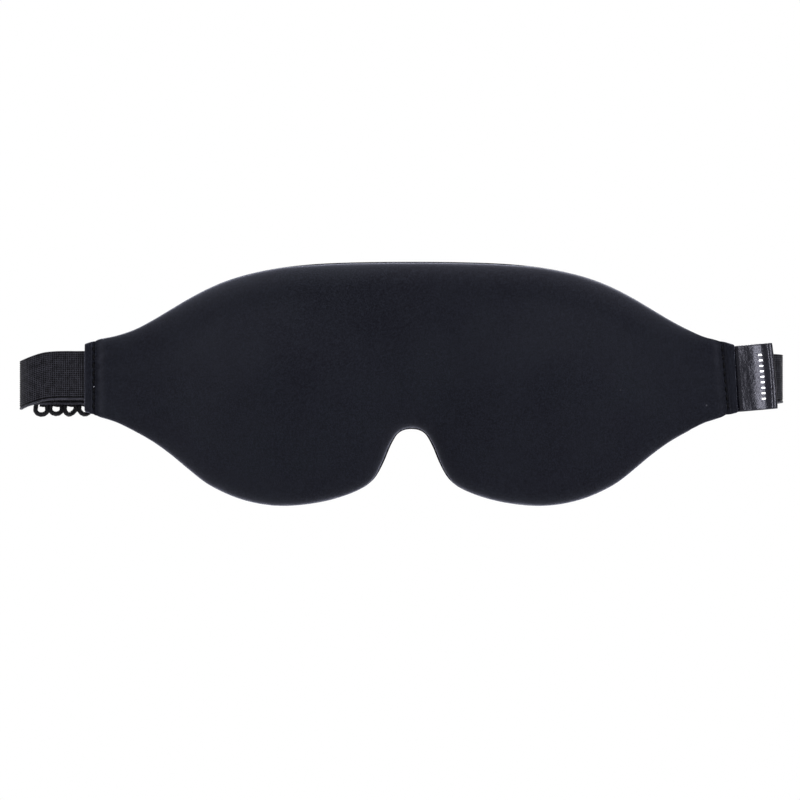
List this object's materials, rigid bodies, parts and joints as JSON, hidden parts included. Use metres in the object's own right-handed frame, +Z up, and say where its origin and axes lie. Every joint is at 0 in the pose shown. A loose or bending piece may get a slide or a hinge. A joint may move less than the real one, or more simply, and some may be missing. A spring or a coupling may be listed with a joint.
{
  "type": "sleep eye mask",
  "caption": "Contoured, padded sleep mask with two eye cavities, a nose notch, an elastic head strap with a hook that fits a row of cord loops, and a side label.",
  "frame": {"origin": "where the back of the nose bridge rests on the wearer, level with the middle of the hems", "axes": "+Z up the wearer's forehead, -Y out of the mask's face, +X to the right of somebody who looks at that face"},
  "size_m": [0.2825, 0.0548, 0.0915],
  "materials": {
    "face_fabric": "matt, finely brushed knit",
    "lining_fabric": "matt, smooth knit",
    "foam": "moulded open-cell foam",
    "edge": "pressed and cut edge",
    "elastic": "woven ribbed elastic",
    "cord": "twisted cord and braid",
    "thread": "polyester thread",
    "hook_plastic": "moulded nylon",
    "label": "glossy satin tape",
    "label_print": "printed bars"
  },
  "bodies": {
    "mask": {"front_fabric": "face_fabric", "front_foam": "foam", "back_foam": "foam", "back_fabric": "lining_fabric", "edge_seam": "edge", "left_hem": "face_fabric", "right_hem": "face_fabric", "left_hem_stitches": "thread", "right_hem_stitches": "thread", "left_elastic_side": "elastic", "right_elastic_side": "elastic"},
    "rear_strap": {"left_elastic_rear": "elastic", "loop_tape": "cord", "adjust_loops": "cord", "tape_stitches": "thread", "right_elastic_rear": "elastic", "right_elastic_take_up": "elastic"},
    "strap_end": {"strap_end_sleeve": "elastic", "sleeve_stitches": "thread"},
    "hook": {"hook": "hook_plastic"},
    "label": {"label": "label", "label_print": "label_print"}
  },
  "joints": [
    {"name": "strap_pull", "type": "slide", "parent": "mask", "child": "rear_strap", "axis": [0, 1, 0], "range_m": [0, 0.08], "stiffness_N_per_m": 50, "deforming": ["left_elastic_side", "right_elastic_side"]},
    {"name": "hook_position", "type": "slide", "parent": "rear_strap", "child": "strap_end", "axis": [-0.9963, -0.0859, 0], "range_m": [0, 0.0648], "deforming": ["right_elastic_take_up"]},
    {"name": "hook_swivel", "type": "hinge", "parent": "strap_end", "child": "hook", "pos_m": [-0.06067, 0.03243, -0.001], "axis": [0, 0, -1], "range_deg": [0, 75]},
    {"name": "label_flip", "type": "hinge", "parent": "mask", "child": "label", "pos_m": [0.12121, 0.00313, 0], "axis": [0.0856, 0.0166, -0.9962], "range_deg": [0, 120], "stiffness_Nm_per_rad": 0.0005}
  ]
}
